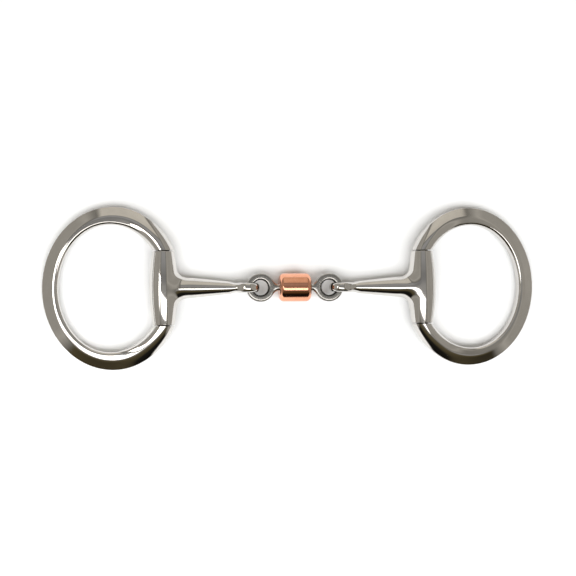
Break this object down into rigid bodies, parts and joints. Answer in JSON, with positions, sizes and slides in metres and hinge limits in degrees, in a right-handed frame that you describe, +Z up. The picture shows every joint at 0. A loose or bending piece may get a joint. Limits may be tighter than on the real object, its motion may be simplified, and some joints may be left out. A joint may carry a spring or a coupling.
{
  "type": "snaffle bit",
  "caption": "Double-jointed snaffle bit with flat-ring eggbutt cheeks, tapering arms and a centre link that carries a turning copper roller.",
  "frame": {"origin": "centre of the copper roller, which is the centre of the whole bit as it lies flat", "axes": "+X along the mouthpiece to the right cheek, +Y along the barrels, +Z up from the surface that the bit lies on"},
  "size_m": [0.264, 0.0852, 0.015],
  "materials": {
    "polished_steel": "polished stainless steel",
    "cast_steel": "tumbled cast stainless steel",
    "pin_steel": "plain drawn steel",
    "copper": "polished copper"
  },
  "bodies": {
    "link": {"centre_link": "cast_steel"},
    "roller": {"copper_roller": "copper"},
    "left_arm": {"left_mouthpiece_arm": "polished_steel"},
    "right_arm": {"right_mouthpiece_arm": "polished_steel"},
    "left_cheek": {"left_cheek_ring": "polished_steel", "left_hinge_pin": "pin_steel"},
    "right_cheek": {"right_cheek_ring": "polished_steel", "right_hinge_pin": "pin_steel"}
  },
  "joints": [
    {"name": "roller_spin", "type": "hinge", "parent": "link", "child": "roller", "pos_m": [0, 0, 0], "axis": [1, 0, 0], "continuous": true},
    {"name": "left_arm_fold", "type": "hinge", "parent": "link", "child": "left_arm", "pos_m": [-0.025, 0, 0], "axis": [0, 1, 0], "range_deg": [-100, 100]},
    {"name": "right_arm_fold", "type": "hinge", "parent": "link", "child": "right_arm", "pos_m": [0.025, 0, 0], "axis": [0, -1, 0], "range_deg": [-100, 100]},
    {"name": "left_ring_swing", "type": "hinge", "parent": "left_arm", "child": "left_cheek", "pos_m": [-0.0692, 0, 0], "axis": [0, -1, 0], "range_deg": [-160, 160]},
    {"name": "right_ring_swing", "type": "hinge", "parent": "right_arm", "child": "right_cheek", "pos_m": [0.0692, 0, 0], "axis": [0, 1, 0], "range_deg": [-160, 160]}
  ]
}
